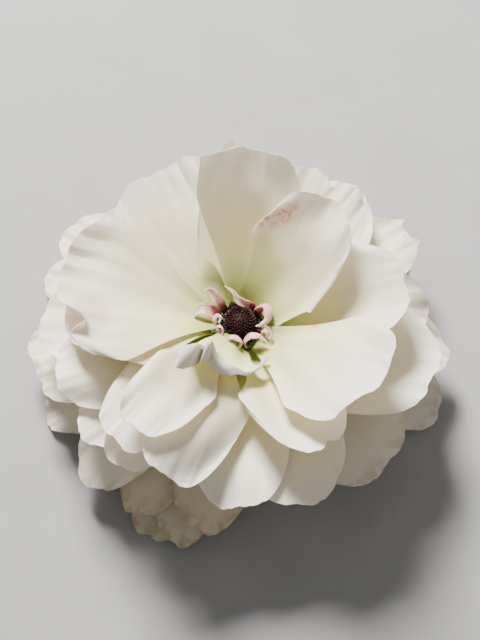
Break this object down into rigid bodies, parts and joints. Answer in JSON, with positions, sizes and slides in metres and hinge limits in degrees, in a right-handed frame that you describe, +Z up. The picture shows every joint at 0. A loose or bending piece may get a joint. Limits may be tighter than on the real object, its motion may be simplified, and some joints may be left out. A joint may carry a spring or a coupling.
{
  "type": "ranunculus flower",
  "caption": "Fully open double flower with broad overlapping white petals, curled pink petaloids round a dark centre and a short cut stem, resting face up on its outer petals.",
  "frame": {"origin": "bottom centre of the flower's bounding box, on the surface that its outer petals and cut stem rest on", "axes": "+Z up out of the flower's face, +X along the bloom's widest direction, +Y towards its tall upright petals, so that it is seen from the front along +Y"},
  "size_m": [0.1024, 0.0926, 0.0452],
  "materials": {
    "petal_white": "thin soft white petal, slightly translucent, greenish cream towards its claw, with fine veins",
    "petal_outer_white": "older outer petal, off-white and slightly translucent, with fine veins and a creased rim",
    "petaloid_pink": "soft dull pink to cream petaloid",
    "sepal_green": "matt downy green sepal",
    "stem_green": "smooth fleshy green stem, paler where it is cut",
    "carpel_dark": "near-black purple carpels, bumpy with a dull sheen",
    "stamen_dark": "dark purple stamens with dull anthers"
  },
  "bodies": {
    "root": {"carpels": "carpel_dark", "petal_bottom": "petal_white", "petal_bottom_left": "petal_white", "petal_bottom_right": "petal_white", "petal_droop_front": "petal_outer_white", "petal_droop_left": "petal_outer_white", "petal_droop_lobe": "petal_outer_white", "petal_droop_tip": "petal_outer_white", "petal_front_curl": "petal_white", "petal_left_behind": "petal_white", "petal_left_fan": "petal_white", "petal_left_fan_lower": "petal_white", "petal_left_low": "petal_white", "petal_lower_left": "petal_white", "petal_lower_left_behind": "petal_white", "petal_lower_left_edge": "petal_white", "petal_lower_left_point": "petal_white", "petal_lower_right": "petal_white", "petal_outer_bottom_right": "petal_outer_white", "petal_outer_far_right": "petal_outer_white", "petal_outer_left": "petal_outer_white", "petal_outer_left_droop": "petal_outer_white", "petal_outer_left_low": "petal_outer_white", "petal_outer_left_mid": "petal_outer_white", "petal_outer_left_upper": "petal_outer_white", "petal_outer_lower_left": "petal_outer_white", "petal_outer_right": "petal_outer_white", "petal_outer_right_corner": "petal_outer_white", "petal_outer_right_low": "petal_outer_white", "petal_outer_right_upper": "petal_outer_white", "petal_outer_top": "petal_outer_white", "petal_outer_top_left": "petal_outer_white", "petal_outer_upper_left": "petal_outer_white", "petal_outer_upper_right": "petal_outer_white", "petal_right": "petal_white", "petal_right_corner": "petal_white", "petal_right_lower": "petal_white", "petal_right_wide": "petal_white", "petal_top_behind": "petal_white", "petal_top_left": "petal_white", "petal_upper_left": "petal_white", "petal_upper_right": "petal_white", "petal_upper_right_behind": "petal_white", "petaloid_front": "petaloid_pink", "petaloid_front_left": "petaloid_pink", "petaloid_front_right": "petaloid_pink", "petaloid_hook": "petaloid_pink", "petaloid_left": "petaloid_pink", "petaloid_left_low": "petaloid_pink", "petaloid_ribbon": "petaloid_pink", "petaloid_sliver": "petaloid_pink", "petaloid_twisted": "petaloid_pink", "sepal_1": "sepal_green", "sepal_2": "sepal_green", "sepal_3": "sepal_green", "sepal_4": "sepal_green", "sepal_5": "sepal_green", "stamens": "stamen_dark", "stem": "stem_green"}
  },
  "joints": []
}
